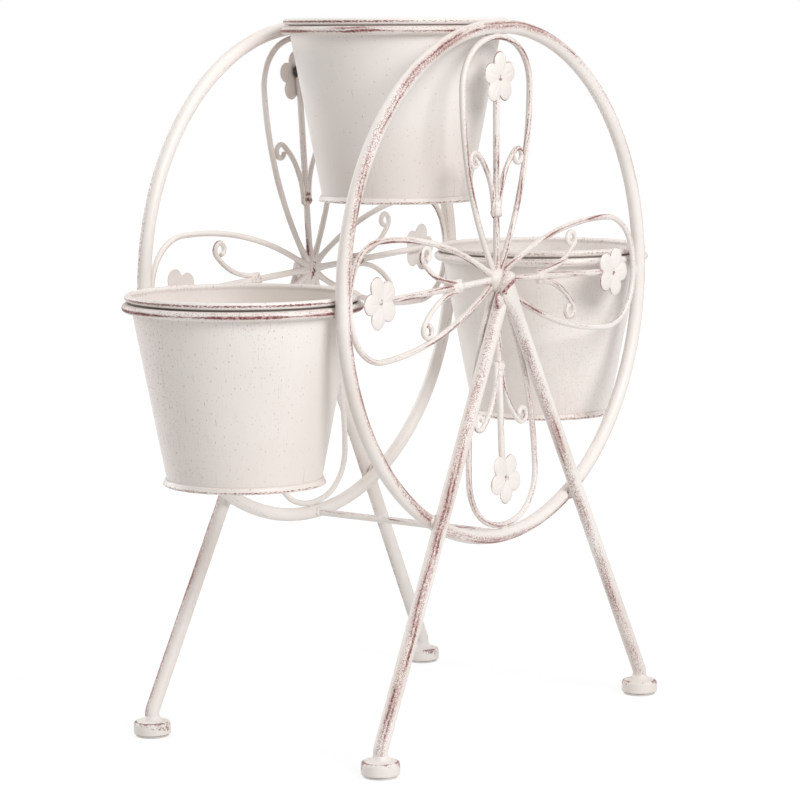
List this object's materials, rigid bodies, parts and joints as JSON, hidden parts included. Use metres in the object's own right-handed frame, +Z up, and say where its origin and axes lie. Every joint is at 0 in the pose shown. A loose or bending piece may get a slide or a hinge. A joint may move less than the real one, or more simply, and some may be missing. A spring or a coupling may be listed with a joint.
{
  "type": "flower cart stand",
  "caption": "Welded wire plant stand: upright wheels with petal and scroll spokes on splayed legs, with rings at the hoops holding tapered metal pots that lift out.",
  "frame": {"origin": "on the floor, under the middle of the stand", "axes": "+X along the stand from the left pot to the right pot, Y along the wheels' axis with the front wheel at -Y, +Z up"},
  "size_m": [0.6076, 0.27, 0.5921],
  "materials": {
    "frame_paint": "matt cream paint, rubbed through to dark red along its edges",
    "pot_paint": "satin cream paint with fine scratches, rubbed at the rims",
    "foot_paint": "matt cream paint with worn upper edges"
  },
  "bodies": {
    "stand": {"crossbar": "frame_paint", "front_hoop": "frame_paint", "front_hub": "frame_paint", "front_spoke_right": "frame_paint", "front_petal_right": "frame_paint", "front_scrolls_right": "frame_paint", "front_flower_right": "frame_paint", "front_spoke_top": "frame_paint", "front_petal_top": "frame_paint", "front_scrolls_top": "frame_paint", "front_flower_top": "frame_paint", "front_spoke_left": "frame_paint", "front_petal_left": "frame_paint", "front_scrolls_left": "frame_paint", "front_flower_left": "frame_paint", "front_spoke_bottom": "frame_paint", "front_petal_bottom": "frame_paint", "front_scrolls_bottom": "frame_paint", "front_flower_bottom": "frame_paint", "front_leg_right": "frame_paint", "front_leg_left": "frame_paint", "front_foot_right": "foot_paint", "front_foot_left": "foot_paint", "rear_hoop": "frame_paint", "rear_hub": "frame_paint", "rear_spoke_right": "frame_paint", "rear_petal_right": "frame_paint", "rear_scrolls_right": "frame_paint", "rear_flower_right": "frame_paint", "rear_spoke_top": "frame_paint", "rear_petal_top": "frame_paint", "rear_scrolls_top": "frame_paint", "rear_flower_top": "frame_paint", "rear_spoke_left": "frame_paint", "rear_petal_left": "frame_paint", "rear_scrolls_left": "frame_paint", "rear_flower_left": "frame_paint", "rear_spoke_bottom": "frame_paint", "rear_petal_bottom": "frame_paint", "rear_scrolls_bottom": "frame_paint", "rear_flower_bottom": "frame_paint", "rear_leg_right": "frame_paint", "rear_leg_left": "frame_paint", "rear_foot_right": "foot_paint", "rear_foot_left": "foot_paint", "ring_left": "frame_paint", "ring_top": "frame_paint", "ring_right": "frame_paint"},
    "pot_left": {"pot_left": "pot_paint", "pot_base_left": "pot_paint"},
    "pot_top": {"pot_top": "pot_paint", "pot_base_top": "pot_paint"},
    "pot_right": {"pot_right": "pot_paint", "pot_base_right": "pot_paint"}
  },
  "joints": [
    {"name": "lift_pot_left", "type": "slide", "parent": "stand", "child": "pot_left", "axis": [0, 0, 1], "range_m": [0, 0.38]},
    {"name": "lift_pot_top", "type": "slide", "parent": "stand", "child": "pot_top", "axis": [0, 0, 1], "range_m": [0, 0.16]},
    {"name": "lift_pot_right", "type": "slide", "parent": "stand", "child": "pot_right", "axis": [0, 0, 1], "range_m": [0, 0.38]}
  ]
}
